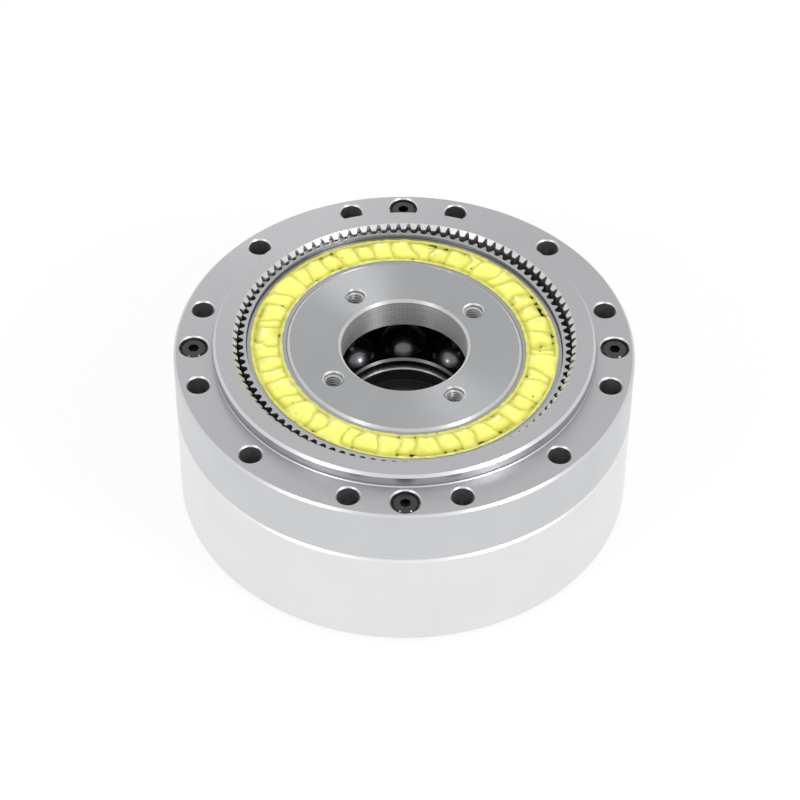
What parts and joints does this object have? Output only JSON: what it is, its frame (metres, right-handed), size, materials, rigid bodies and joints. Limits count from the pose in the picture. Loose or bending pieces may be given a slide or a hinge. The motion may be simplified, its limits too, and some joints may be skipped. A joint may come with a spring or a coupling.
{
  "type": "strain wave gear",
  "caption": "Short-cup strain wave gear unit with an oval wave generator, toothed flexible cup, fixed toothed ring and crossed-roller output bearing.",
  "frame": {"origin": "centre of the output face, the lowest face of the unit, on the gear's axis", "axes": "+Z along the gear's axis, from the output face up to the wave generator; +X towards one of the four case screws"},
  "size_m": [0.07, 0.07, 0.0297],
  "materials": {
    "turned_steel": "fine turned, semi-bright, with bright chamfers",
    "ground_steel": "ground bright on the outside",
    "tooth_steel": "cut teeth, bright",
    "plug_steel": "face turned in fine rings",
    "bearing_steel": "ground and polished bearing steel",
    "black_oxide": "black oxide, oiled, glossy",
    "nitrile_rubber": "matt black",
    "cage_nylon": "natural nylon",
    "bearing_grease": "soft, wet, bright yellow"
  },
  "bodies": {
    "housing": {"circular_spline": "turned_steel", "bearing_outer_ring": "ground_steel", "case_screws": "black_oxide", "case_o_ring": "nitrile_rubber", "oil_seal": "nitrile_rubber", "seal_case": "ground_steel", "roller_loading_plug": "ground_steel", "taper_pin": "bearing_steel"},
    "output": {"output_ring": "turned_steel", "flexspline": "tooth_steel", "clamp_ring": "turned_steel", "clamp_bolts": "black_oxide", "wave_bearing_outer_race": "bearing_steel"},
    "wave_generator": {"wave_generator_plug": "plug_steel", "wave_bearing_inner_race": "bearing_steel"},
    "ball_set": {"ball_cage": "cage_nylon", "wave_bearing_balls": "bearing_steel", "bearing_grease": "bearing_grease"},
    "roller_train": {"cross_rollers_rising": "bearing_steel", "cross_rollers_falling": "bearing_steel", "roller_spacers": "cage_nylon"}
  },
  "joints": [
    {"name": "wave_generator_turn", "type": "hinge", "parent": "housing", "child": "wave_generator", "pos_m": [0, 0, 0.0257], "axis": [0, 0, 1], "continuous": true, "deforming": ["flexspline", "wave_bearing_outer_race", "wave_bearing_balls", "bearing_grease"]},
    {"name": "output_turn", "type": "hinge", "parent": "housing", "child": "output", "pos_m": [0, 0, 0.006], "axis": [0, 0, 1], "continuous": true},
    {"name": "ball_set_turn", "type": "hinge", "parent": "housing", "child": "ball_set", "pos_m": [0, 0, 0.02495], "axis": [0, 0, 1], "continuous": true},
    {"name": "roller_train_turn", "type": "hinge", "parent": "housing", "child": "roller_train", "pos_m": [0, 0, 0.0084], "axis": [0, 0, 1], "continuous": true}
  ],
  "couplings": [
    {"joint": "output_turn", "follows": "wave_generator_turn", "ratio": -0.02},
    {"joint": "ball_set_turn", "follows": "wave_generator_turn", "ratio": 0.4422},
    {"joint": "roller_train_turn", "follows": "wave_generator_turn", "ratio": -0.00952}
  ]
}
